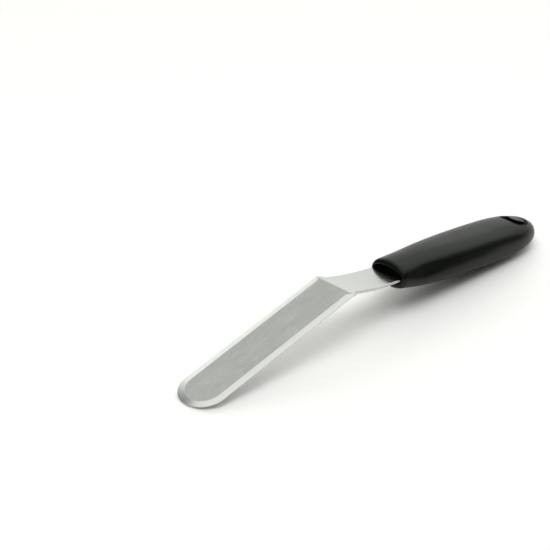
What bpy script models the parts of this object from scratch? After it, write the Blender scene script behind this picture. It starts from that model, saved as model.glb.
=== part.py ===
"""Small offset spatula, lying blade tip and handle on a table with its bend uppermost.

+X runs along the tool from the blade to the handle, +Y across it and +Z up. The origin is on the
table, halfway along the tool. Everything is in metres.

One steel stamping makes the blade, the neck and the tang. Two hard core shells clamp the tang, a
collar closes the handle's mouth round the neck, a liner bushes the hang hole, and a soft sleeve
covers the shells.
"""
import math

import bmesh
import bpy
from mathutils import Matrix, Vector

# ---- driving dimensions -------------------------------------------------------------------------
GAP = 0.0003                             # clearance between neighbouring pieces

STEEL = 0.0012                           # thickness of the sheet
BLADE_LENGTH = 0.0895                    # from the tip to the bend, along the blade
BLADE_WIDTH = 0.0235
LAND = 0.0031                            # width of the tapered land along the blade's edge
EDGE = 0.0004                            # thickness left at the blade's edge
LEAST_FLAT = 0.3                         # the flat's least share of the width, at the very tip
BLADE_SLOPE = math.radians(14.15)        # the blade climbs to the bend
NECK_SLOPE = math.radians(16.1)          # the neck falls away from the bend
BEND_ARC = 0.0020                        # length of sheet taken up by the bend
NECK_LENGTH = 0.0344                     # from the bend to the handle's mouth
NECK_WIDTH = 0.0190
NECK_WIDTH_AT_MOUTH = 0.0170
NECK_EDGE = 0.0009
NECK_CHAMFER = 0.0004
SHOULDER = 0.0030                        # length over which the blade narrows to the neck

TANG_WIDTH = 0.0120
TANG_END_WIDTH = 0.0085
TANG_LENGTH = 0.0600                     # from the collar's face to the end of the tang
TANG_HOLE_RADIUS = 0.0025
TANG_HOLES = (0.020, 0.046)              # distances from the handle's mouth

HANDLE_SLOPE = math.radians(6.09)        # the handle falls towards its butt
HANDLE_LENGTH = 0.0995
HANDLE_WIDTH = 0.0259
HANDLE_WIDTH_AT_MOUTH = 0.0208
HANDLE_DEPTH = 0.0159
HANDLE_DEPTH_AT_MOUTH = 0.0118
WIDEST_AT = 0.70                         # shares of the handle's length
DEEPEST_AT = 0.38
WIDTH_RISE = 2.2                         # powers of the curves from the mouth to those places
DEPTH_RISE = 2.0
WIDTH_CLOSING = 3.0                      # powers of the curves that close the butt
DEPTH_CLOSING = 4.0
MOUTH_SQUARENESS = 2.25                  # powers of the section's curve: 2 is an ellipse
MIDDLE_SQUARENESS = 3.0
UNDER_SQUARENESS = 2.3
BUTT_SQUARENESS = 2.1                    # what the upper side eases to, from ROUNDER_FROM on
ROUNDER_FROM = 0.60
SETTLED_AT = 0.5                         # share of the length where the section stops changing
LOW_WAIST = 0.28                         # the widest line lies this share of the half depth low
LOW_WAIST_FROM = 0.15
SAG = 0.0006                             # how far the middle of the handle bows below its axis
LIFT = 0.0011                            # how far the butt rises above that axis
LIFT_FROM = 0.62
FACET_TILT = math.radians(62)            # shallow finger facet on each side behind the mouth
FACET_CUT = 0.00045
FACET_START = 0.0075
FACET_FULL = 0.0140
FACET_END = 0.0340
SKIN = 0.0022                            # thickness of the soft sleeve

ROLL_LENGTH = 0.0024                     # the sleeve's rolled lip at the mouth
ROLL_SIDE = 0.0013
ROLL_TOP = 0.0020
LIP = 0.0003                             # how far the mouth's opening is inside the roll
COLLAR_SET_BACK = 0.0060                 # depth of the open recess in front of the collar
COLLAR_DEPTH = 0.0050

HOLE_AT = 0.0882                         # middle of the hang hole, from the mouth
HOLE_LENGTH = 0.0086
HOLE_WIDTH = 0.0106
HOLE_CORNER = 0.0022
HOLE_BACK = 0.8                          # power that squares the half round at the back a little
LINER_WALL = 0.0009
LINER_SET_BACK = 0.0003

PEG_RADIUS = 0.0021
PEG_HEIGHT = 0.0034                      # above the plane where the shells part

RING_POINTS = 56
BODY_RINGS = 26
BODY_CROWDING = 1.9                      # power that crowds the rings towards the butt
BODY_END = 0.9992                        # share of the length where the last ring closes the butt
END_INSET = 1.25                         # an inset form ends this many insets sooner
FAR = 0.02                               # clear of the handle on every side
OVERLAP = 0.001                          # how far a cutter runs past the face that it opens
HAIR = 0.00002                           # length of the step from the neck to the tang
WALK_STEP = 0.0005                       # length of the straight steps that follow the sheet
TIP_START = math.radians(4)              # the first turn round the tip's half circle


# ---- small helpers ------------------------------------------------------------------------------
def clear_scene():
    for old in list(bpy.data.objects):
        bpy.data.objects.remove(old, do_unlink=True)


def collection(name):
    made = bpy.data.collections.new(name)
    bpy.context.scene.collection.children.link(made)
    return made


def smooth_step(value):
    value = min(max(value, 0.0), 1.0)
    return value * value * (3 - 2 * value)


def blend(start, end, share):
    return start + (end - start) * share


def steps(start, end, count):
    """count + 1 evenly spaced numbers."""
    return [blend(start, end, i / count) for i in range(count + 1)]


def material(name, colour, roughness, metallic=0.0):
    made = bpy.data.materials.new(name)
    made.use_nodes = True
    shader = made.node_tree.nodes["Principled BSDF"]
    shader.inputs["Base Color"].default_value = (*colour, 1.0)
    shader.inputs["Roughness"].default_value = roughness
    shader.inputs["Metallic"].default_value = metallic
    made.diffuse_color = (*colour, 1.0)
    return made


def object_from(name, mesh, group, place=None):
    made = bpy.data.objects.new(name, mesh)
    group.objects.link(made)
    if place is not None:
        made.matrix_world = place
    return made


def loft(name, rings, group, place=None):
    """A closed solid through rings of equally many points, with a flat cap at each end."""
    form = bmesh.new()
    loops = [[form.verts.new(point) for point in ring] for ring in rings]
    count = len(rings[0])
    for near, far in zip(loops, loops[1:]):
        for i in range(count):
            j = (i + 1) % count
            form.faces.new((near[i], near[j], far[j], far[i]))
    form.faces.new(loops[0][::-1])
    form.faces.new(loops[-1])
    bmesh.ops.recalc_face_normals(form, faces=form.faces)
    mesh = bpy.data.meshes.new(name)
    form.to_mesh(mesh)
    form.free()
    return object_from(name, mesh, group, place)


def cylinder(name, radius, low, high, at, group):
    """An upright cylinder at that distance from the mouth, in the handle's own axes."""
    form = bmesh.new()
    bmesh.ops.create_cone(
        form, cap_ends=True, segments=32, radius1=radius, radius2=radius, depth=high - low,
        matrix=Matrix.Translation((at, 0, (low + high) / 2)),
    )
    mesh = bpy.data.meshes.new(name)
    form.to_mesh(mesh)
    form.free()
    return object_from(name, mesh, group, HANDLE_PLACE)


def combine(target, tool, operation="DIFFERENCE"):
    modifier = target.modifiers.new(tool.name, "BOOLEAN")
    modifier.operation = operation
    modifier.object = tool
    modifier.solver = "EXACT"
    tool.hide_render = True
    tool.display_type = "WIRE"


def finish(piece, look, sharp=math.radians(35)):
    piece.data.materials.append(look)
    piece.data.shade_smooth()
    piece.data.set_sharp_from_angle(angle=sharp)


# ---- the sheet's centre line --------------------------------------------------------------------
def slope_at(distance):
    """Slope of the sheet, with distance measured from the bend towards the handle."""
    if distance < -BEND_ARC / 2:
        return BLADE_SLOPE
    if distance < BEND_ARC / 2:
        return blend(BLADE_SLOPE, -NECK_SLOPE, distance / BEND_ARC + 0.5)
    return blend(-NECK_SLOPE, -HANDLE_SLOPE, smooth_step(distance / NECK_LENGTH))


def walk_sheet(distances):
    """(position, slope) at each distance, starting from the tip at x = 0, z = 0."""
    found = []
    x = z = 0.0
    previous = -BLADE_LENGTH
    for distance in distances:
        count = max(1, math.ceil((distance - previous) / WALK_STEP))
        pace = (distance - previous) / count
        for i in range(count):
            slope = slope_at(previous + (i + 0.5) * pace)
            x += pace * math.cos(slope)
            z += pace * math.sin(slope)
        previous = distance
        found.append((Vector((x, 0, z)), slope_at(distance)))
    return found


TANG_TIP = NECK_LENGTH + COLLAR_SET_BACK + TANG_LENGTH
MOUTH_FROM_TIP = walk_sheet([NECK_LENGTH])[0][0]
LENGTH_OVERALL = MOUTH_FROM_TIP.x + HANDLE_LENGTH * math.cos(HANDLE_SLOPE)
TIP_HEIGHT = EDGE / 2 * math.cos(BLADE_SLOPE)
TIP = Vector((-LENGTH_OVERALL / 2, 0, TIP_HEIGHT))
MOUTH = TIP + MOUTH_FROM_TIP
HANDLE_PLACE = Matrix.Translation(MOUTH) @ Matrix.Rotation(HANDLE_SLOPE, 4, "Y")


# ---- blade, neck and tang -----------------------------------------------------------------------
def tip_stations():
    """Distances round the tip's half circle, closer together where it is blunt."""
    radius = BLADE_WIDTH / 2
    turns = steps(TIP_START, math.pi / 2, 12)
    return [-BLADE_LENGTH + radius * (1 - math.cos(turn)) for turn in turns]


def half_width_at(distance):
    radius = BLADE_WIDTH / 2
    from_tip = distance + BLADE_LENGTH
    if from_tip < radius:
        return math.sqrt(radius**2 - (radius - from_tip) ** 2)
    shoulder_end = BEND_ARC / 2 + SHOULDER
    mouth_step = NECK_LENGTH + COLLAR_SET_BACK - GAP
    if distance < shoulder_end:
        share = smooth_step((distance - BEND_ARC / 2) / SHOULDER)
        return blend(radius, NECK_WIDTH / 2, share)
    if distance <= mouth_step:
        share = smooth_step((distance - shoulder_end) / (mouth_step - shoulder_end))
        return blend(NECK_WIDTH, NECK_WIDTH_AT_MOUTH, share) / 2
    share = (distance - mouth_step) / (TANG_TIP - mouth_step)
    return blend(TANG_WIDTH, TANG_END_WIDTH, share) / 2


def sheet_section(distance, half_width):
    """Points (across, height) round the sheet's section, thick in the middle and thin at its edges."""
    radius = BLADE_WIDTH / 2
    share = smooth_step((distance + BEND_ARC) / (2 * BEND_ARC))
    land = blend(LAND, NECK_CHAMFER, share)
    edge = blend(EDGE, NECK_EDGE, share)
    from_tip = distance + BLADE_LENGTH
    inner = half_width - land
    if from_tip < radius:
        inner = math.sqrt(max((radius - land) ** 2 - (radius - from_tip) ** 2, 0))
    inner = max(inner, half_width * LEAST_FLAT)
    depth = land
    if from_tip < radius:
        depth = min(land, radius - math.hypot(radius - from_tip, inner))
    thick = blend(edge, STEEL, depth / land)
    return [
        (-half_width, -edge / 2),
        (-inner, -thick / 2),
        (inner, -thick / 2),
        (half_width, -edge / 2),
        (half_width, edge / 2),
        (inner, thick / 2),
        (-inner, thick / 2),
        (-half_width, edge / 2),
    ]


def make_blade(group, cutters, steel):
    mouth_step = NECK_LENGTH + COLLAR_SET_BACK - GAP
    shoulder_end = BEND_ARC / 2 + SHOULDER
    stations = tip_stations()
    stations += steps(-BEND_ARC, shoulder_end, 14)
    stations += steps(shoulder_end, mouth_step, 14)[1:]
    stations += steps(mouth_step + HAIR, TANG_TIP, 3)
    rings = []
    for distance, (position, slope) in zip(stations, walk_sheet(stations)):
        normal = Vector((-math.sin(slope), 0, math.cos(slope)))
        section = sheet_section(distance, half_width_at(distance))
        centre = TIP + position
        rings.append([centre + Vector((0, across, 0)) + normal * height for across, height in section])
    blade = loft("blade", rings, group)
    for i, at in enumerate(TANG_HOLES, 1):
        hole = cylinder(f"cut_tang_hole_{i}", TANG_HOLE_RADIUS, -STEEL, STEEL, at, cutters)
        combine(blade, hole)
    finish(blade, steel, sharp=math.radians(12))
    return blade


# ---- the handle's form --------------------------------------------------------------------------
def closing(share, start, power):
    """Falls from 1 at start to 0 at the butt, as a rounded end does."""
    if share <= start:
        return 1.0
    return math.sqrt(max(1 - ((share - start) / (1 - start)) ** power, 0))


def handle_half_width(share):
    rise = max(1 - share / WIDEST_AT, 0) ** WIDTH_RISE
    full = blend(HANDLE_WIDTH, HANDLE_WIDTH_AT_MOUTH, rise) / 2
    return full * closing(share, WIDEST_AT, WIDTH_CLOSING)


def handle_half_depth(share):
    rise = max(1 - share / DEEPEST_AT, 0) ** DEPTH_RISE
    full = blend(HANDLE_DEPTH, HANDLE_DEPTH_AT_MOUTH, rise) / 2
    return full * closing(share, DEEPEST_AT, DEPTH_CLOSING)


def facet_cut(x):
    """Depth of the finger facets at x: it rises quickly behind the mouth and fades slowly."""
    if x < FACET_FULL:
        return FACET_CUT * smooth_step((x - FACET_START) / (FACET_FULL - FACET_START))
    return FACET_CUT * smooth_step((FACET_END - x) / (FACET_END - FACET_FULL))


def cut_facet(across, height, half_width, above, power, cut):
    """A point of the upper section, moved back to the facet's plane where it stands beyond it."""
    if cut <= 0 or height <= 0:
        return across, height
    side, up = math.sin(FACET_TILT), math.cos(FACET_TILT)
    dual = power / (power - 1)
    touching = ((half_width * side) ** dual + (above * up) ** dual) ** (1 / dual)
    beyond = abs(across) * side + height * up - (touching - cut)
    if beyond <= 0:
        return across, height
    return math.copysign(abs(across) - beyond * side, across), height - beyond * up


def form_ring(x, inset, side_roll=0.0, top_roll=0.0, cut=0.0):
    """The handle's section at x from the mouth, drawn in by inset all round."""
    share = max(x, 0) / HANDLE_LENGTH
    sag = SAG * 4 * share * (1 - share)
    middle = LIFT * smooth_step((share - LIFT_FROM) / (1 - LIFT_FROM)) - sag
    low = LOW_WAIST * smooth_step(share / LOW_WAIST_FROM)
    settled = smooth_step(share / SETTLED_AT)
    rounder = smooth_step((share - ROUNDER_FROM) / (1 - ROUNDER_FROM))
    upper_squareness = blend(MIDDLE_SQUARENESS, BUTT_SQUARENESS, rounder)
    half_width = handle_half_width(share) - inset - side_roll
    half_depth = handle_half_depth(share) - inset - top_roll
    above, below = half_depth * (1 + low), half_depth * (1 - low)
    waist = middle - half_depth * low
    points = []
    for i in range(RING_POINTS):
        turn = 2 * math.pi * i / RING_POINTS
        c, s = math.cos(turn), math.sin(turn)
        squareness = upper_squareness if s > 0 else UNDER_SQUARENESS
        power = blend(MOUTH_SQUARENESS, squareness, settled)
        across = half_width * math.copysign(abs(c) ** (2 / power), c)
        height = (above if s > 0 else below) * math.copysign(abs(s) ** (2 / power), s)
        across, height = cut_facet(across, height, half_width, above, power, cut)
        points.append(Vector((x, across, waist + height)))
    return points


def body_stations(start, inset):
    """Distances from the mouth, closer together towards the butt."""
    reach = HANDLE_LENGTH * BODY_END - inset * END_INSET - start
    shares = steps(1, 0, BODY_RINGS)
    return [start + reach * (1 - share**BODY_CROWDING) for share in shares]


def outer_form(name, group, inset=0.0):
    """The whole handle with its rolled lip, drawn in by inset."""
    rings = []
    for turn in steps(0, math.pi / 2, 6)[:-1]:
        x = ROLL_LENGTH * (1 - math.cos(turn)) + inset
        drawn = 1 - math.sin(turn)
        rings.append(form_ring(x, inset, ROLL_SIDE * drawn, ROLL_TOP * drawn))
    for x in body_stations(ROLL_LENGTH + inset, inset):
        rings.append(form_ring(x, inset, cut=facet_cut(x)))
    return loft(name, rings, group, HANDLE_PLACE)


def inner_form(name, group, inset, start):
    rings = [form_ring(x, inset) for x in body_stations(start, inset)]
    return loft(name, rings, group, HANDLE_PLACE)


def mouth_prism(name, group, inset, start, end):
    """A straight plug of the mouth's outline, drawn in by inset."""
    side = ROLL_SIDE + inset
    top = ROLL_TOP + inset
    ring = form_ring(0, 0.0, side, top)
    rings = [[Vector((x, point.y, point.z)) for point in ring] for x in (start, end)]
    return loft(name, rings, group, HANDLE_PLACE)


def hole_outline(offset):
    """The hang hole: straight in front with round corners, and a half round behind."""
    half_width = HOLE_WIDTH / 2 + offset
    reach = HOLE_LENGTH / 2 + offset
    corner = HOLE_CORNER + offset
    points = []
    for turn in steps(-math.pi / 2, math.pi / 2, 14):
        across = half_width * math.sin(turn)
        points.append((HOLE_AT + reach * max(math.cos(turn), 0) ** HOLE_BACK, across))
    for side, start in ((1, math.pi / 2), (-1, math.pi)):
        for turn in steps(start, start + math.pi / 2, 5):
            x = HOLE_AT - reach + corner + corner * math.cos(turn)
            across = side * (half_width - corner) + corner * math.sin(turn)
            points.append((x, across))
    return points


def hole_prism(name, group, offset):
    outline = hole_outline(offset)
    rings = [[Vector((x, y, z)) for x, y in outline] for z in (-FAR, FAR)]
    return loft(name, rings, group, HANDLE_PLACE)


def block(name, group, low, high):
    """A box between two corners, in the handle's own axes."""
    ring = [(low[1], low[2]), (high[1], low[2]), (high[1], high[2]), (low[1], high[2])]
    rings = [[Vector((x, y, z)) for y, z in ring] for x in (low[0], high[0])]
    return loft(name, rings, group, HANDLE_PLACE)


# ---- the handle's pieces ------------------------------------------------------------------------
CAVITY_START = COLLAR_SET_BACK + COLLAR_DEPTH
CORE_START = CAVITY_START + GAP


def make_sleeve(group, cutters, soft):
    sleeve = outer_form("grip_sleeve", group)
    combine(sleeve, inner_form("cut_sleeve_cavity", cutters, SKIN, CAVITY_START))
    mouth = mouth_prism("cut_sleeve_mouth", cutters, LIP, -OVERLAP, CAVITY_START + OVERLAP)
    combine(sleeve, mouth)
    combine(sleeve, hole_prism("cut_sleeve_hole", cutters, LINER_WALL + GAP))
    finish(sleeve, soft)
    return sleeve


def make_collar(group, cutters, hard):
    collar = mouth_prism("mouth_collar", group, LIP + GAP, COLLAR_SET_BACK, CAVITY_START)
    half = TANG_WIDTH / 2 + GAP
    depth = STEEL / 2 + GAP
    slot = block("cut_collar_slot", cutters, (0, -half, -depth), (FAR, half, depth))
    combine(collar, slot)
    finish(collar, hard)
    return collar


def tang_room(name, cutters):
    """The tang with its clearance, from the collar to just past its end."""
    depth = STEEL / 2 + GAP
    start = CAVITY_START - OVERLAP
    end = COLLAR_SET_BACK + TANG_LENGTH + GAP
    rings = []
    for x, width in ((start, TANG_WIDTH), (end, TANG_END_WIDTH)):
        half = width / 2 + GAP
        corners = ((-half, -depth), (half, -depth), (half, depth), (-half, depth))
        rings.append([Vector((x, y, z)) for y, z in corners])
    return loft(name, rings, cutters, HANDLE_PLACE)


def make_core(name, side, group, cutters, hard):
    """One core shell: side is 1 for the upper and -1 for the lower."""
    core = inner_form(name, group, SKIN + GAP, CORE_START)
    near = GAP / 2
    low, high = (-FAR, near) if side > 0 else (-near, FAR)
    other_half = block(f"cut_{name}_half", cutters, (0, -FAR, low), (HANDLE_LENGTH, FAR, high))
    combine(core, other_half)
    combine(core, tang_room(f"cut_{name}_tang", cutters))
    combine(core, hole_prism(f"cut_{name}_hole", cutters, LINER_WALL + GAP))
    for i, at in enumerate(TANG_HOLES, 1):
        if side > 0:
            radius, top = PEG_RADIUS + GAP, PEG_HEIGHT + GAP
            socket = cylinder(f"cut_{name}_socket_{i}", radius, -STEEL, top, at, cutters)
            combine(core, socket)
        else:
            peg = cylinder(f"{name}_peg_{i}", PEG_RADIUS, -2 * STEEL, PEG_HEIGHT, at, cutters)
            combine(core, peg, "UNION")
    finish(core, hard)
    return core


def make_liner(group, cutters, hard):
    liner = hole_prism("hang_hole_liner", group, LINER_WALL)
    combine(liner, outer_form("liner_limit", cutters, LINER_SET_BACK), "INTERSECT")
    combine(liner, hole_prism("cut_liner_bore", cutters, 0.0))
    finish(liner, hard)
    return liner


def main():
    clear_scene()
    parts = collection("offset_spatula")
    cutters = collection("cutters")
    cutters.hide_render = True
    steel = material("stainless_steel", (0.62, 0.63, 0.61), 0.22, 1.0)
    soft = material("soft_elastomer", (0.018, 0.019, 0.018), 0.40)
    collar_black = material("hard_plastic_collar", (0.008, 0.008, 0.008), 0.25)
    liner_black = material("hard_plastic_liner", (0.012, 0.012, 0.012), 0.30)
    upper_grey = material("hard_plastic_upper", (0.030, 0.030, 0.030), 0.45)
    lower_grey = material("hard_plastic_lower", (0.030, 0.030, 0.030), 0.45)
    make_blade(parts, cutters, steel)
    make_sleeve(parts, cutters, soft)
    make_collar(parts, cutters, collar_black)
    make_core("core_upper_shell", 1, parts, cutters, upper_grey)
    make_core("core_lower_shell", -1, parts, cutters, lower_grey)
    make_liner(parts, cutters, liner_black)


main()
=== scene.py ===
"""Visual model of the small offset spatula, on a pale table under soft studio light.

The pieces repeat the formulas of the CAD source with more points, rounded edges and rims. They are
in metres in the CAD's own frame: +X from the blade to the handle, +Y across and +Z up.
"""
import math

import bmesh
import bpy
from mathutils import Matrix, Vector


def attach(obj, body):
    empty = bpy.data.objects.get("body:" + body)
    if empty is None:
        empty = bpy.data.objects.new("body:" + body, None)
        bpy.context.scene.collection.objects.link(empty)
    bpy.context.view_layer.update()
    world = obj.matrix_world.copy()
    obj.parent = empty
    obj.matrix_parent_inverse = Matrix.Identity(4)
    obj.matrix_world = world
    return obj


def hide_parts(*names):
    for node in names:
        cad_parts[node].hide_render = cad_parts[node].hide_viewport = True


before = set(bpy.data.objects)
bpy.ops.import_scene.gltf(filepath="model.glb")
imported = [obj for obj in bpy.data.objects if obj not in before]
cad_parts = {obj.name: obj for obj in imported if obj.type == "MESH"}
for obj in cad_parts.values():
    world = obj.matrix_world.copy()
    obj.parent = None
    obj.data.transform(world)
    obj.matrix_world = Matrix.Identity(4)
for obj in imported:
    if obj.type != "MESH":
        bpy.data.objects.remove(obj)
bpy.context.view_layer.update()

# ---- dimensions shared with the CAD source ------------------------------------------------------
GAP = 0.0003
STEEL = 0.0012
BLADE_LENGTH = 0.0895
BLADE_WIDTH = 0.0235
LAND = 0.0031
EDGE = 0.0004
BLADE_SLOPE = math.radians(14.15)
NECK_SLOPE = math.radians(16.1)
BEND_ARC = 0.0020
NECK_LENGTH = 0.0344
NECK_WIDTH = 0.0190
NECK_WIDTH_AT_MOUTH = 0.0170
NECK_EDGE = 0.0009
NECK_CHAMFER = 0.0004
SHOULDER = 0.0030
TANG_WIDTH = 0.0120
TANG_END_WIDTH = 0.0085
TANG_LENGTH = 0.0600
TANG_HOLE_RADIUS = 0.0025
TANG_HOLES = (0.020, 0.046)
HANDLE_SLOPE = math.radians(6.09)
HANDLE_LENGTH = 0.0995
HANDLE_WIDTH = 0.0259
HANDLE_WIDTH_AT_MOUTH = 0.0208
HANDLE_DEPTH = 0.0159
HANDLE_DEPTH_AT_MOUTH = 0.0118
WIDEST_AT = 0.70
DEEPEST_AT = 0.38
WIDTH_RISE = 2.2
DEPTH_RISE = 2.0
WIDTH_CLOSING = 3.0
DEPTH_CLOSING = 4.0
MOUTH_SQUARENESS = 2.25
MIDDLE_SQUARENESS = 3.0
UNDER_SQUARENESS = 2.3
BUTT_SQUARENESS = 2.1                    # what the upper side eases to, from ROUNDER_FROM on
ROUNDER_FROM = 0.60
SETTLED_AT = 0.5
LOW_WAIST = 0.28
LOW_WAIST_FROM = 0.15
SAG = 0.0006
LIFT = 0.0011
LIFT_FROM = 0.62
FACET_TILT = math.radians(62)
FACET_CUT = 0.00045
FACET_START = 0.0075
FACET_FULL = 0.0140
FACET_END = 0.0340
SKIN = 0.0022
ROLL_LENGTH = 0.0024
ROLL_SIDE = 0.0013
ROLL_TOP = 0.0020
LIP = 0.0003
COLLAR_SET_BACK = 0.0060
COLLAR_DEPTH = 0.0050
CAVITY_START = COLLAR_SET_BACK + COLLAR_DEPTH
HOLE_AT = 0.0882
HOLE_LENGTH = 0.0086
HOLE_WIDTH = 0.0106
HOLE_CORNER = 0.0022
HOLE_BACK = 0.8
LINER_WALL = 0.0009
LINER_SET_BACK = 0.0003

# ---- fineness and small radii of the visual pieces ----------------------------------------------
WALK_STEP = 0.0005                       # longest step along the sheet's centre line
TIP_RAYS = 48
BEND_REACH = BEND_ARC * 1.2              # how far the close stations reach from the bend
TANG_STEP = 0.00002                      # length in which the neck drops to the tang's width
EDGE_FULLNESS = 0.96                     # the sheet edge's round, as a share of a full half round
SOFTENING = 0.00012                      # round where the flat meets the ground land
FLAT_SUPPORT = 0.0004                    # strip of true flat beside that round
RING_POINTS = 120
BODY_RINGS = 96
CAVITY_RINGS = 40
RING_CROWDING = 1.9                      # how much closer the rings stand towards the butt
BODY_CLOSED_AT = 0.99998                 # share of the handle's length where the outer skin closes
CAVITY_CLOSED_AT = 0.9992
BUTT_SKINS = 1.25                        # thickness of the sleeve's butt, in skins
LEAST_HALF_WIDTH = 0.00002
LEAST_HALF_DEPTH = 0.00001
RIM_RADIUS = 0.0007                      # round of the sleeve's edge at the hang hole
RIM_TURN = math.radians(78)              # how much of a quarter turn that round takes
RIM_FLARE = 1.3                          # reach of the cutter outside the skin, in rim radii
CUTTER_PROUD = 0.001
COLLAR_ROUND = 0.00035
SLOT_LEAD_IN = 0.0003


# ---- small helpers ------------------------------------------------------------------------------
def smooth_step(value):
    value = min(max(value, 0.0), 1.0)
    return value * value * (3 - 2 * value)


def mix(start, end, share):
    return start + (end - start) * share


def steps(start, end, count):
    """count + 1 evenly spaced numbers."""
    return [mix(start, end, i / count) for i in range(count + 1)]


def object_from(name, form, place=None):
    """A new object in the scene from a bmesh, which is freed."""
    if place is not None:
        bmesh.ops.transform(form, matrix=place, verts=form.verts)
    bmesh.ops.recalc_face_normals(form, faces=form.faces)
    mesh = bpy.data.meshes.new(name)
    form.to_mesh(mesh)
    form.free()
    made = bpy.data.objects.new(name, mesh)
    bpy.context.scene.collection.objects.link(made)
    return made


def bridge(form, near, far):
    count = len(near)
    for i in range(count):
        j = (i + 1) % count
        form.faces.new((near[i], near[j], far[j], far[i]))


def loft(name, rings, place=None):
    """A closed solid through rings of equally many points, with a cap at each end."""
    form = bmesh.new()
    loops = [[form.verts.new(point) for point in ring] for ring in rings]
    for near, far in zip(loops, loops[1:]):
        bridge(form, near, far)
    form.faces.new(loops[0][::-1])
    form.faces.new(loops[-1])
    return object_from(name, form, place)


def carve(target, cutter):
    """Cuts the cutter out of the target and removes the cutter."""
    modifier = target.modifiers.new("carve", "BOOLEAN")
    modifier.operation = "DIFFERENCE"
    modifier.solver = "EXACT"
    modifier.object = cutter
    graph = bpy.context.evaluated_depsgraph_get()
    carved = bpy.data.meshes.new_from_object(target.evaluated_get(graph))
    target.modifiers.clear()
    target.data = carved
    bpy.data.objects.remove(cutter, do_unlink=True)


def smooth(piece, sharp):
    """Shades the piece smooth, except at edges that turn by more than sharp degrees."""
    piece.data.shade_smooth()
    piece.data.set_sharp_from_angle(angle=math.radians(sharp))


# ---- the sheet's centre line --------------------------------------------------------------------
def slope_at(distance):
    """Slope of the sheet, with distance measured from the bend towards the handle."""
    if distance < -BEND_ARC / 2:
        return BLADE_SLOPE
    if distance < BEND_ARC / 2:
        return mix(BLADE_SLOPE, -NECK_SLOPE, distance / BEND_ARC + 0.5)
    return mix(-NECK_SLOPE, -HANDLE_SLOPE, smooth_step(distance / NECK_LENGTH))


def walk_sheet(distances):
    """(position, slope) at each distance, starting from the tip at x = 0, z = 0."""
    found = []
    x = z = 0.0
    previous = -BLADE_LENGTH
    for distance in distances:
        count = max(1, math.ceil((distance - previous) / WALK_STEP))
        pace = (distance - previous) / count
        for i in range(count):
            slope = slope_at(previous + (i + 0.5) * pace)
            x += pace * math.cos(slope)
            z += pace * math.sin(slope)
        previous = distance
        found.append((Vector((x, 0, z)), slope_at(distance)))
    return found


NECK_STOP = NECK_LENGTH + COLLAR_SET_BACK - GAP
TANG_TIP = NECK_LENGTH + COLLAR_SET_BACK + TANG_LENGTH
MOUTH_FROM_TIP = walk_sheet([NECK_LENGTH])[0][0]
LENGTH_OVERALL = MOUTH_FROM_TIP.x + HANDLE_LENGTH * math.cos(HANDLE_SLOPE)
TIP = Vector((-LENGTH_OVERALL / 2, 0, EDGE / 2 * math.cos(BLADE_SLOPE)))
MOUTH = TIP + MOUTH_FROM_TIP
HANDLE_PLACE = Matrix.Translation(MOUTH) @ Matrix.Rotation(HANDLE_SLOPE, 4, "Y")


# ---- blade, neck and tang -----------------------------------------------------------------------
def half_width_at(distance):
    shoulder_end = BEND_ARC / 2 + SHOULDER
    if distance < shoulder_end:
        share = smooth_step((distance - BEND_ARC / 2) / SHOULDER)
        return mix(BLADE_WIDTH, NECK_WIDTH, share) / 2
    if distance <= NECK_STOP:
        share = smooth_step((distance - shoulder_end) / (NECK_STOP - shoulder_end))
        return mix(NECK_WIDTH, NECK_WIDTH_AT_MOUTH, share) / 2
    share = (distance - NECK_STOP) / (TANG_TIP - NECK_STOP)
    return mix(TANG_WIDTH, TANG_END_WIDTH, share) / 2


def edge_profile(land, edge):
    """(distance in from the edge, height) from the flat, over the land and half round the edge."""
    half = STEEL / 2
    fall = (half - edge / 2) / land
    soft = min(SOFTENING, land / 3)
    points = [(land + soft + FLAT_SUPPORT, half), (land + soft, half)]
    points.append((land, half - fall * soft / 4))
    points.append((land - soft, half - fall * soft))
    radius = edge / 2 * EDGE_FULLNESS
    start = radius * (1 - math.sin(fall))
    points.append((start + soft * 1.5, edge / 2 + fall * (start + soft * 1.5)))
    for turn in steps(math.pi / 2, 0, 5):
        points.append((radius * (1 - math.cos(turn)), edge / 2 * math.sin(turn) + fall * start))
    return points


def column(centre, up, outward, half_width, land, edge):
    """The profile's points at one place on the outline, over the top, round the edge and under."""
    upper = edge_profile(land, edge)
    over = [centre + outward * (half_width - inward) + up * height for inward, height in upper]
    lower = upper[:-1]
    under = [centre + outward * (half_width - inward) - up * height for inward, height in lower]
    return over + under[::-1]


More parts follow.
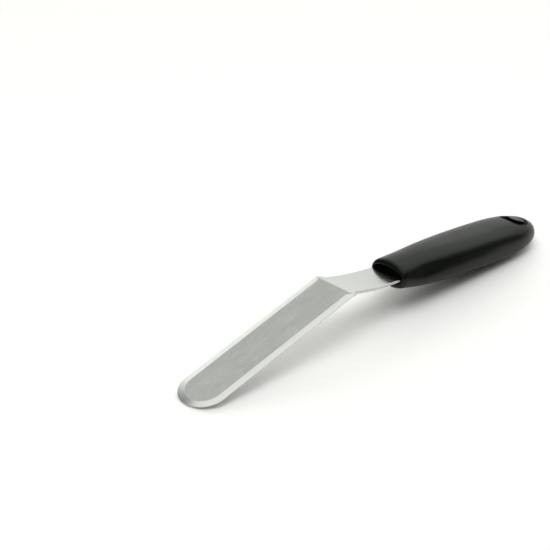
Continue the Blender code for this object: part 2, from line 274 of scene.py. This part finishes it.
def make_blade():
    form = bmesh.new()

    def made(points):
        return [form.verts.new(point) for point in points]

    def strip(first, second):
        for i in range(len(first) - 1):
            form.faces.new((first[i], first[i + 1], second[i + 1], second[i]))

    radius = BLADE_WIDTH / 2
    across = Vector((0, 1, 0))
    along = Vector((math.cos(BLADE_SLOPE), 0, math.sin(BLADE_SLOPE)))
    normal = Vector((-math.sin(BLADE_SLOPE), 0, math.cos(BLADE_SLOPE)))

    rays = []
    tip_centre = TIP + along * radius
    for turn in steps(-math.pi / 2, math.pi / 2, TIP_RAYS):
        outward = -along * math.cos(turn) - across * math.sin(turn)
        rays.append(made(column(tip_centre, normal, outward, radius, LAND, EDGE)))
    for first, second in zip(rays, rays[1:]):
        strip(first, second)
    form.faces.new([ray[0] for ray in rays])
    form.faces.new([ray[-1] for ray in rays][::-1])

    stations = steps(-BLADE_LENGTH + radius, -BEND_REACH, 24)[1:]
    stations += steps(-BEND_REACH, BEND_REACH, 22)[1:]
    stations += steps(BEND_REACH, BEND_ARC / 2 + SHOULDER, 8)[1:]
    stations += steps(BEND_ARC / 2 + SHOULDER, NECK_STOP, 40)[1:]
    stations += steps(NECK_STOP + TANG_STEP, TANG_TIP, 12)
    far_line, near_line = rays[0], rays[-1]
    for distance, (position, slope) in zip(stations, walk_sheet(stations)):
        share = smooth_step((distance + BEND_ARC) / (2 * BEND_ARC))
        land = mix(LAND, NECK_CHAMFER, share)
        edge = mix(EDGE, NECK_EDGE, share)
        up = Vector((-math.sin(slope), 0, math.cos(slope)))
        centre = TIP + position
        half_width = half_width_at(distance)
        far = made(column(centre, up, across, half_width, land, edge))
        near = made(column(centre, up, -across, half_width, land, edge))
        strip(far_line, far)
        strip(near, near_line)
        form.faces.new((far_line[0], far[0], near[0], near_line[0]))
        form.faces.new((near_line[-1], near[-1], far[-1], far_line[-1]))
        far_line, near_line = far, near
    form.faces.new(far_line + near_line[::-1])

    blade = object_from("blade_and_neck", form)
    for at in TANG_HOLES:
        hole = bmesh.new()
        bmesh.ops.create_cone(
            hole, cap_ends=True, segments=48, radius1=TANG_HOLE_RADIUS, radius2=TANG_HOLE_RADIUS,
            depth=4 * STEEL, matrix=Matrix.Translation((at, 0, 0)),
        )
        carve(blade, object_from("tang_hole", hole, HANDLE_PLACE))
    smooth(blade, 40)
    return blade


# ---- the handle's form --------------------------------------------------------------------------
def closing(share, start, power):
    """Falls from 1 at start to 0 at the butt, as a rounded end does."""
    if share <= start:
        return 1.0
    return math.sqrt(max(1 - ((share - start) / (1 - start)) ** power, 0))


def facet_cut(x):
    """Depth of the finger facets at x: it rises quickly behind the mouth and fades slowly."""
    if x < FACET_FULL:
        return FACET_CUT * smooth_step((x - FACET_START) / (FACET_FULL - FACET_START))
    return FACET_CUT * smooth_step((FACET_END - x) / (FACET_END - FACET_FULL))


def cut_facet(across, height, half_width, above, power, cut):
    """A point of the upper section, moved back to the facet's plane where it stands beyond it."""
    if cut <= 0 or height <= 0:
        return across, height
    side, up = math.sin(FACET_TILT), math.cos(FACET_TILT)
    dual = power / (power - 1)
    touching = ((half_width * side) ** dual + (above * up) ** dual) ** (1 / dual)
    beyond = abs(across) * side + height * up - (touching - cut)
    if beyond <= 0:
        return across, height
    return math.copysign(abs(across) - beyond * side, across), height - beyond * up


def handle_section(x, inset=0.0, side_roll=0.0, top_roll=0.0):
    """The section at x from the mouth: half width, reach above and below the waist, the waist's
    height, and the squareness above and below it."""
    share = max(x, 0) / HANDLE_LENGTH
    rise = max(1 - share / WIDEST_AT, 0) ** WIDTH_RISE
    full = mix(HANDLE_WIDTH, HANDLE_WIDTH_AT_MOUTH, rise) / 2
    half_width = full * closing(share, WIDEST_AT, WIDTH_CLOSING) - inset - side_roll
    rise = max(1 - share / DEEPEST_AT, 0) ** DEPTH_RISE
    full = mix(HANDLE_DEPTH, HANDLE_DEPTH_AT_MOUTH, rise) / 2
    half_depth = full * closing(share, DEEPEST_AT, DEPTH_CLOSING) - inset - top_roll
    half_width, half_depth = max(half_width, LEAST_HALF_WIDTH), max(half_depth, LEAST_HALF_DEPTH)
    sag = SAG * 4 * share * (1 - share)
    middle = LIFT * smooth_step((share - LIFT_FROM) / (1 - LIFT_FROM)) - sag
    low = LOW_WAIST * smooth_step(share / LOW_WAIST_FROM)
    settled = smooth_step(share / SETTLED_AT)
    rounder = smooth_step((share - ROUNDER_FROM) / (1 - ROUNDER_FROM))
    square_above = mix(MOUTH_SQUARENESS, mix(MIDDLE_SQUARENESS, BUTT_SQUARENESS, rounder), settled)
    square_below = mix(MOUTH_SQUARENESS, UNDER_SQUARENESS, settled)
    waist = middle - half_depth * low
    above, below = half_depth * (1 + low), half_depth * (1 - low)
    return half_width, above, below, waist, square_above, square_below


def form_ring(at, inset=0.0, side_roll=0.0, top_roll=0.0, x=None, cut=0.0):
    """The handle's section at that distance, drawn in all round, and placed at x."""
    section = handle_section(at, inset, side_roll, top_roll)
    half_width, above, below, waist, square_above, square_below = section
    points = []
    for i in range(RING_POINTS):
        turn = 2 * math.pi * i / RING_POINTS
        c, s = math.cos(turn), math.sin(turn)
        power = square_above if s > 0 else square_below
        across = half_width * math.copysign(abs(c) ** (2 / power), c)
        height = (above if s > 0 else below) * math.copysign(abs(s) ** (2 / power), s)
        across, height = cut_facet(across, height, half_width, above, power, cut)
        points.append(Vector((at if x is None else x, across, waist + height)))
    return points


def body_stations(start, end, count):
    """Distances from the mouth, closer together towards the butt."""
    return [mix(start, end, 1 - (1 - i / count) ** RING_CROWDING) for i in range(count + 1)]


def surface_height(x, across, side):
    """Height of the handle's upper (side 1) or lower (side -1) surface near the hang hole."""
    half_width, above, below, waist, square_above, square_below = handle_section(x)
    reach, power = (above, square_above) if side > 0 else (below, square_below)
    share = min(abs(across) / half_width, 1.0)
    return waist + side * reach * (1 - share**power) ** (1 / power)


def hole_outline(offset):
    """The hang hole: straight in front with round corners, and a half round behind."""
    half_width = HOLE_WIDTH / 2 + offset
    reach = HOLE_LENGTH / 2 + offset
    corner = HOLE_CORNER + offset
    points = []
    for turn in steps(-math.pi / 2, math.pi / 2, 40):
        x = HOLE_AT + reach * max(math.cos(turn), 0) ** HOLE_BACK
        points.append((x, half_width * math.sin(turn)))
    for side, start in ((1, math.pi / 2), (-1, math.pi)):
        for turn in steps(start, start + math.pi / 2, 12):
            x = HOLE_AT - reach + corner + corner * math.cos(turn)
            points.append((x, side * (half_width - corner) + corner * math.sin(turn)))
    return points


def hole_rings(levels):
    """The hole's outlines in order from top to bottom, each (offset, depth) level at both faces."""
    rings = []
    for side in (1, -1):
        group = []
        for offset, depth in levels:
            group.append([
                Vector((x, y, surface_height(x, y, side) - side * depth))
                for x, y in hole_outline(offset)
            ])
        rings += group if side > 0 else group[::-1]
    return rings


def hole_cutter():
    """The hole through the sleeve, opening out at both surfaces as its moulded edge does."""
    base = LINER_WALL + GAP
    levels = [(base + RIM_RADIUS * RIM_FLARE, -CUTTER_PROUD)]
    for turn in steps(RIM_TURN, 0, 8):
        levels.append((base + RIM_RADIUS * (1 - math.cos(turn)), RIM_RADIUS * (1 - math.sin(turn))))
    return loft("hole_cutter", hole_rings(levels), HANDLE_PLACE)


def make_sleeve():
    """The sleeve's closed skin: the cavity from its end to the mouth, the lip, and the outside."""
    end = HANDLE_LENGTH * BODY_CLOSED_AT
    inner_end = HANDLE_LENGTH * CAVITY_CLOSED_AT - SKIN * BUTT_SKINS
    wall = (ROLL_SIDE + LIP, ROLL_TOP + LIP)
    rings = [form_ring(x, SKIN) for x in body_stations(CAVITY_START, inner_end, CAVITY_RINGS)[::-1]]
    rings += [form_ring(0, 0, *wall, x=x) for x in steps(CAVITY_START, LIP, 6)]
    for turn in steps(0, math.pi / 2, 5)[1:-1]:
        extra = LIP * math.cos(turn)
        x = LIP * (1 - math.sin(turn))
        rings.append(form_ring(0, 0, ROLL_SIDE + extra, ROLL_TOP + extra, x=x))
    for turn in steps(0, math.pi / 2, 14)[:-1]:
        drawn = 1 - math.sin(turn)
        x = ROLL_LENGTH * (1 - math.cos(turn))
        rings.append(form_ring(x, 0, ROLL_SIDE * drawn, ROLL_TOP * drawn))
    rings += [form_ring(x, cut=facet_cut(x)) for x in body_stations(ROLL_LENGTH, end, BODY_RINGS)]
    sleeve = loft("soft_grip", rings, HANDLE_PLACE)
    carve(sleeve, hole_cutter())
    smooth(sleeve, 50)
    return sleeve


def make_collar():
    """The hard plug in the mouth, with a rounded front edge and a slot with a lead-in."""
    inset = LIP + GAP
    rings = []
    for turn in steps(0, math.pi / 2, 6):
        drawn = inset + COLLAR_ROUND * (1 - math.sin(turn))
        x = COLLAR_SET_BACK + COLLAR_ROUND * (1 - math.cos(turn))
        rings.append(form_ring(0, 0, ROLL_SIDE + drawn, ROLL_TOP + drawn, x=x))
    rings.append(form_ring(0, 0, ROLL_SIDE + inset, ROLL_TOP + inset, x=CAVITY_START))
    collar = loft("mouth_plug", rings, HANDLE_PLACE)
    slot = []
    stations = (
        (COLLAR_SET_BACK - SLOT_LEAD_IN, 2 * SLOT_LEAD_IN),
        (COLLAR_SET_BACK + SLOT_LEAD_IN, 0),
        (2 * CAVITY_START, 0),
    )
    for x, flare in stations:
        wide = TANG_WIDTH / 2 + GAP + flare
        high = STEEL / 2 + GAP + flare
        corners = ((-wide, -high), (wide, -high), (wide, high), (-wide, high))
        slot.append([Vector((x, y, z)) for y, z in corners])
    carve(collar, loft("slot_cutter", slot, HANDLE_PLACE))
    smooth(collar, 35)
    return collar


def make_liner():
    """The bush in the hang hole, with a full round at each end."""
    half = LINER_WALL / 2
    levels = []
    for turn in steps(0, math.pi, 12):
        levels.append((half - half * math.cos(turn), LINER_SET_BACK + half * (1 - math.sin(turn))))
    form = bmesh.new()
    loops = [[form.verts.new(point) for point in ring] for ring in hole_rings(levels)]
    for near, far in zip(loops, loops[1:] + loops[:1]):
        bridge(form, near, far)
    liner = object_from("hang_hole_bush", form, HANDLE_PLACE)
    smooth(liner, 50)
    return liner


# ---- materials ----------------------------------------------------------------------------------
def node(tree, kind, inputs=None, **settings):
    """A new shader node. An input is a value, or a socket to link."""
    made = tree.nodes.new(kind)
    for name, value in settings.items():
        setattr(made, name, value)
    for name, value in (inputs or {}).items():
        if isinstance(value, bpy.types.NodeSocket):
            tree.links.new(value, made.inputs[name])
        else:
            made.inputs[name].default_value = value
    return made


def new_material(name):
    made = bpy.data.materials.new(name)
    made.use_nodes = True
    return made, made.node_tree, made.node_tree.nodes["Principled BSDF"]


def noise(tree, scale, detail=3.0, roughness=0.55, stretch=(1, 1, 1), distortion=0.0):
    """Noise in the piece's own coordinates: scale in cells a metre, times stretch on each axis."""
    place = node(tree, "ShaderNodeTexCoord").outputs["Object"]
    mapped = node(tree, "ShaderNodeMapping", {"Vector": place, "Scale": stretch})
    made = node(tree, "ShaderNodeTexNoise", {
        "Vector": mapped.outputs[0], "Scale": scale, "Detail": detail, "Roughness": roughness,
        "Distortion": distortion,
    })
    return made.outputs["Fac"]


def ranged(tree, value, low, high, from_low=0.0, from_high=1.0, kind="LINEAR"):
    """The value's range from from_low to from_high, moved to the range from low to high."""
    made = node(tree, "ShaderNodeMapRange", {
        "Value": value, "From Min": from_low, "From Max": from_high, "To Min": low, "To Max": high,
    }, interpolation_type=kind)
    return made.outputs["Result"]


def maths(tree, operation, first, second):
    made = node(tree, "ShaderNodeMath", {0: first, 1: second}, operation=operation)
    return made.outputs[0]


def colours(tree, share, first, second):
    """A colour that runs from first to second as share runs from 0 to 1."""
    ramp = node(tree, "ShaderNodeValToRGB", {"Fac": share})
    ramp.color_ramp.elements[0].color = (*first, 1)
    ramp.color_ramp.elements[1].color = (*second, 1)
    return ramp.outputs["Color"]


def bumped(tree, layers):
    """A normal from (height, strength, distance) layers."""
    normal = None
    for height, strength, distance in layers:
        inputs = {"Height": height, "Strength": strength, "Distance": distance}
        if normal is not None:
            inputs["Normal"] = normal
        normal = node(tree, "ShaderNodeBump", inputs).outputs["Normal"]
    return normal


def link(tree, shader, sockets):
    """Links each named input of the shader to its socket."""
    for name, socket in sockets.items():
        tree.links.new(socket, shader.inputs[name])


def steel_material():
    """Brushed along the tool and worn: fine grain, long streaks, cloudy patches, rare scratches."""
    made, tree, shader = new_material("satin_stainless")
    grain = noise(tree, 1.0, 4.0, 0.6, (60, 5200, 0))
    streaks = noise(tree, 1.0, 3.0, 0.5, (14, 900, 0))
    clouds = noise(tree, 55.0, 3.0, 0.5)
    smear = noise(tree, 160.0, 4.0, 0.6, (0.5, 1.4, 1), 1.2)
    scratches = noise(tree, 1.0, 1.0, 0.4, (180, 6500, 0), 0.4)
    rare = ranged(tree, scratches, 0, 1, 0.70, 0.78)
    half_streaks = maths(tree, "MULTIPLY", streaks, 0.5)
    tone = maths(tree, "ADD", half_streaks, maths(tree, "MULTIPLY", clouds, 0.5))
    smeared = ranged(tree, smear, 0.150, 0.235, 0.35, 0.75)
    rough = maths(tree, "ADD", ranged(tree, streaks, -0.03, 0.03), smeared)
    link(tree, shader, {
        "Base Color": colours(tree, tone, (0.640, 0.652, 0.640), (0.690, 0.700, 0.688)),
        "Roughness": maths(tree, "ADD", rough, maths(tree, "MULTIPLY", rare, 0.10)),
        "Normal": bumped(tree, [(grain, 0.10, 0.00002), (rare, 0.10, 0.00002)]),
    })
    shader.inputs["Metallic"].default_value = 1.0
    return made


def elastomer_material():
    """Soft and faintly pebbled, with a cloudy sheen and specks of dust that dull it."""
    made, tree, shader = new_material("soft_black_elastomer")
    fine = noise(tree, 5200.0, 2.0, 0.5)
    coarse = noise(tree, 900.0, 3.0, 0.55)
    clouds = noise(tree, 60.0, 4.0, 0.6)
    dust = ranged(tree, noise(tree, 2600.0, 1.0, 0.4), 0, 1, 0.72, 0.80)
    tone = ranged(tree, clouds, 0, 1, 0.3, 0.7)
    sheen = ranged(tree, clouds, 0.28, 0.36, 0.3, 0.7)
    link(tree, shader, {
        "Base Color": colours(tree, tone, (0.0040, 0.0052, 0.0045), (0.0058, 0.0072, 0.0064)),
        "Roughness": maths(tree, "ADD", sheen, maths(tree, "MULTIPLY", dust, 0.06)),
        "Normal": bumped(tree, [(coarse, 0.05, 0.00003), (fine, 0.10, 0.00001)]),
    })
    shader.inputs["IOR"].default_value = 1.34
    shader.inputs["Specular Tint"].default_value = (0.94, 1.0, 0.92, 1)
    return made


def plastic_material(name, colour_range, rough_range, texture, ior=1.49):
    """Moulded plastic: both ranges follow the same clouds, and texture is its cells a metre."""
    made, tree, shader = new_material(name)
    clouds = noise(tree, 140.0, 3.0, 0.5)
    fine = noise(tree, texture, 2.0, 0.5)
    link(tree, shader, {
        "Base Color": colours(tree, clouds, *colour_range),
        "Roughness": ranged(tree, clouds, *rough_range),
        "Normal": bumped(tree, [(fine, 0.08, 0.00002)]),
    })
    shader.inputs["IOR"].default_value = ior
    return made


def table_material():
    made, tree, shader = new_material("white_table")
    clouds = noise(tree, 3.0, 2.0, 0.5)
    link(tree, shader, {
        "Base Color": colours(tree, clouds, (0.90, 0.902, 0.90), (0.915, 0.917, 0.915)),
        "Roughness": ranged(tree, clouds, 0.50, 0.58),
    })
    return made


# ---- pieces and what they stand for -------------------------------------------------------------
def dress(piece, look, node_name):
    piece.data.materials.clear()
    piece.data.materials.append(look)
    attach(piece, "root")
    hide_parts(node_name)


def carry_over(node_name, look):
    """Gives a CAD piece that stays in view a better material."""
    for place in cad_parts[node_name].material_slots:
        place.material = look


gloss_plastic = plastic_material(
    "gloss_black_plastic", ((0.007, 0.007, 0.007), (0.011, 0.011, 0.011)), (0.20, 0.30), 2400.0
)
satin_plastic = plastic_material(
    "satin_black_plastic", ((0.004, 0.005, 0.004), (0.007, 0.008, 0.007)), (0.55, 0.65), 2400.0,
    ior=1.22,
)
matte_plastic = plastic_material(
    "matte_core_plastic", ((0.028, 0.028, 0.029), (0.038, 0.038, 0.039)), (0.45, 0.60), 1800.0
)
dress(make_blade(), steel_material(), "blade")
dress(make_sleeve(), elastomer_material(), "grip_sleeve")
dress(make_collar(), gloss_plastic, "mouth_collar")
dress(make_liner(), satin_plastic, "hang_hole_liner")
carry_over("core_upper_shell", matte_plastic)
carry_over("core_lower_shell", matte_plastic)


# ---- table, light and camera --------------------------------------------------------------------
FORWARD = Vector((0.693, 0.721, 0.0)).normalized()    # level direction from the camera to the tool
RIGHT = Vector((FORWARD.y, -FORWARD.x, 0.0))
TABLE_HALF = 4.0
TABLE_DROP = 0.00005

# The black card beside the handle
FLAG_FROM = 0.032
FLAG_TO = 0.096
FLAG_ACROSS = -0.036
FLAG_HEIGHT = 0.015

# The walls that only the steel sees, which leave a gap of SURROUND_FROM each side of FORWARD
SURROUND_FROM = math.radians(66)
SURROUND_RADIUS = 1.30
SURROUND_HEIGHT = 1.30
SURROUND_LIGHT = 0.62

# What lights the table and the diffuse surfaces
DOME_LIGHT = 0.60
NEAR_SIDE_LIGHT = 0.06
BACK_GLOW = 3.20
DOME_COLOUR = (1.0, 0.99, 0.95, 1)
SOFTBOX_HEIGHT = 1.10
SOFTBOX_NEARER = 0.10                                 # how far it hangs towards the camera
SOFTBOX_SIZE = 0.90
SOFTBOX_POWER = 6.0

# Radiance of the studio's parts that reflections show
REAR_BOX_LIGHT = 1.36
BACKDROP_LIGHT = 0.93
GAP_LIGHT = 0.555
CEILING_LIGHT = 1.14
KEY_LIGHT = 1.15
SIDE_LIGHT = 0.03
MIRRORED_COLOUR = (0.985, 1.0, 0.955, 1)
SEEN_COLOUR = (0.93, 0.93, 0.93, 1)                   # what the camera sees past the table

# Where those parts stand, and the two cosines between which each one fades in
KEY_TOWARD = (0.600, 0.018, 0.799)
KEY_FADE = (0.875, 0.905)
BACKDROP_FADE = (0.02, 0.30)
REAR_BOX_FADE = (-0.26, -0.12)
LEFT_FADE = (-0.52, -0.34)
LEFT_BACK_FADE = (-0.40, -0.15)
BACKDROP_SLANT = 0.50                                 # how much lower the gap is on the right
GAP_FADE = (0.40, 0.56)
CEILING_FADE = (0.76, 0.84)
GLOW_FADE = (0.50, 0.66)
NEAR_SIDE = (0, -1, 0)
NEAR_SIDE_FADE = (0.0, 0.5)

CAMERA_AT = (-0.5244, -0.4841, 0.4042)
CAMERA_AIM = (-0.0059, 0.0547, 0.0)
LENS = 120.3
SENSOR_WIDTH = 36.0


def make_table():
    form = bmesh.new()
    bmesh.ops.create_grid(form, x_segments=8, y_segments=8, size=TABLE_HALF)
    bmesh.ops.translate(form, vec=(0, 0, -TABLE_DROP), verts=form.verts)
    table = object_from("table", form)
    table.data.materials.append(table_material())


def show_in_reflections_only(staging):
    staging.visible_camera = False
    staging.visible_diffuse = False
    staging.visible_shadow = False


def make_flag():
    """A black card to the right of the handle, which darkens the handle's near side."""
    form = bmesh.new()
    corners = []
    for x, z in ((FLAG_FROM, 0), (FLAG_TO, 0), (FLAG_TO, FLAG_HEIGHT), (FLAG_FROM, FLAG_HEIGHT)):
        corners.append(form.verts.new((x, FLAG_ACROSS, z)))
    form.faces.new(corners)
    flag = object_from("black_flag", form)
    look, tree, shader = new_material("black_card")
    base = colours(tree, noise(tree, 40.0), (0.004, 0.004, 0.004), (0.006, 0.006, 0.006))
    link(tree, shader, {"Base Color": base})
    shader.inputs["Roughness"].default_value = 1.0
    flag.data.materials.append(look)
    show_in_reflections_only(flag)


def make_surround(steel):
    """Pale studio walls on the sides and behind the camera, which light the steel alone."""
    form = bmesh.new()
    rows = []
    for turn in steps(SURROUND_FROM, 2 * math.pi - SURROUND_FROM, 24):
        foot = (FORWARD * math.cos(turn) + RIGHT * math.sin(turn)) * SURROUND_RADIUS
        top = foot + Vector((0, 0, SURROUND_HEIGHT))
        rows.append([form.verts.new(foot), form.verts.new(top)])
    for near, far in zip(rows, rows[1:]):
        form.faces.new((near[0], far[0], far[1], near[1]))
    walls = object_from("studio_walls", form)
    look, tree, shader = new_material("lit_wall")
    shader.inputs["Base Color"].default_value = (0, 0, 0, 1)
    shader.inputs["Specular IOR Level"].default_value = 0.0
    shader.inputs["Emission Strength"].default_value = SURROUND_LIGHT
    glow = colours(tree, noise(tree, 0.8), (0.92, 0.93, 0.92), (1, 1, 1))
    link(tree, shader, {"Emission Color": glow})
    walls.data.materials.append(look)
    lit = bpy.data.collections.new("lit_by_the_walls")
    lit.objects.link(steel)
    walls.light_linking.receiver_collection = lit
    show_in_reflections_only(walls)


def make_softbox():
    """A square light over the tool, which no reflection shows."""
    data = bpy.data.lights.new("overhead_softbox", "AREA")
    data.shape = "RECTANGLE"
    data.size = SOFTBOX_SIZE
    data.size_y = SOFTBOX_SIZE
    data.energy = SOFTBOX_POWER
    lamp = bpy.data.objects.new("overhead_softbox", data)
    bpy.context.scene.collection.objects.link(lamp)
    lamp.location = Vector((0, 0, SOFTBOX_HEIGHT)) - FORWARD * SOFTBOX_NEARER
    lamp.rotation_mode = "QUATERNION"
    lamp.rotation_quaternion = (-lamp.location).to_track_quat("-Z", "Y")
    lamp.visible_glossy = False


def make_world():
    """Three studios, by the kind of ray. Reflections see a pale backdrop behind the tool with a
    greyer gap over it, a brighter box at its left, a ceiling, a key light and dark sides. Diffuse
    surfaces are lit by an even dome, dimmer on the near side, and a low glow from the back. The
    camera sees plain pale grey."""
    world = bpy.data.worlds.new("studio")
    world.use_nodes = True
    bpy.context.scene.world = world
    tree = world.node_tree
    tree.nodes.clear()
    toward = node(tree, "ShaderNodeTexCoord").outputs["Generated"]

    def along(direction):
        made = node(tree, "ShaderNodeVectorMath", {1: tuple(direction)}, operation="DOT_PRODUCT")
        tree.links.new(toward, made.inputs[0])
        return made.outputs["Value"]

    def faded(value, fade, low=0, high=1):
        return ranged(tree, value, low, high, *fade, "SMOOTHSTEP")

    def times(first, second):
        return maths(tree, "MULTIPLY", first, second)

    def plus(first, second):
        return maths(tree, "ADD", first, second)

    def less(share):
        return ranged(tree, share, 1, 0)

    rise = node(tree, "ShaderNodeSeparateXYZ", {0: toward}).outputs["Z"]
    left = times(faded(along(RIGHT), LEFT_FADE, 1, 0), faded(along(FORWARD), LEFT_BACK_FADE))
    not_left = less(left)
    behind = times(faded(along(FORWARD), BACKDROP_FADE), not_left)
    gap = faded(plus(rise, times(along(RIGHT), BACKDROP_SLANT)), GAP_FADE)
    backdrop = faded(along(RIGHT), REAR_BOX_FADE, REAR_BOX_LIGHT, BACKDROP_LIGHT)
    backdrop = plus(times(backdrop, less(gap)), times(gap, GAP_LIGHT))
    level = plus(ranged(tree, behind, SIDE_LIGHT, 0), times(behind, backdrop))
    ceiling = times(faded(rise, CEILING_FADE), not_left)
    level = plus(times(level, less(ceiling)), times(ceiling, CEILING_LIGHT))
    key = faded(along(KEY_TOWARD), KEY_FADE)
    level = plus(times(level, less(key)), times(key, KEY_LIGHT))

    under = times(behind, faded(rise, GLOW_FADE, 1, 0))
    dome = faded(along(NEAR_SIDE), NEAR_SIDE_FADE, DOME_LIGHT, NEAR_SIDE_LIGHT)
    dome = plus(dome, times(under, BACK_GLOW))

    def background(colour, strength):
        made = node(tree, "ShaderNodeBackground", {"Color": colour, "Strength": strength})
        return made.outputs[0]

    def either(ray, otherwise, when):
        return node(tree, "ShaderNodeMixShader", {0: ray, 1: otherwise, 2: when}).outputs[0]

    ray = node(tree, "ShaderNodeLightPath").outputs
    lit = background(DOME_COLOUR, dome)
    lit = either(ray["Is Glossy Ray"], lit, background(MIRRORED_COLOUR, level))
    lit = either(ray["Is Camera Ray"], lit, background(SEEN_COLOUR, 1.0))
    node(tree, "ShaderNodeOutputWorld", {"Surface": lit})


def make_camera():
    data = bpy.data.cameras.new("camera")
    data.lens = LENS
    data.sensor_width = SENSOR_WIDTH
    data.clip_start = 0.05
    data.clip_end = 30.0
    camera = bpy.data.objects.new("camera", data)
    bpy.context.scene.collection.objects.link(camera)
    camera.location = CAMERA_AT
    aim = Vector(CAMERA_AIM) - camera.location
    camera.rotation_mode = "QUATERNION"
    camera.rotation_quaternion = aim.to_track_quat("-Z", "Y")
    bpy.context.scene.camera = camera


make_table()
make_flag()
make_surround(bpy.data.objects["blade_and_neck"])
make_world()
make_softbox()
make_camera()
bpy.context.scene.view_settings.view_transform = "Standard"
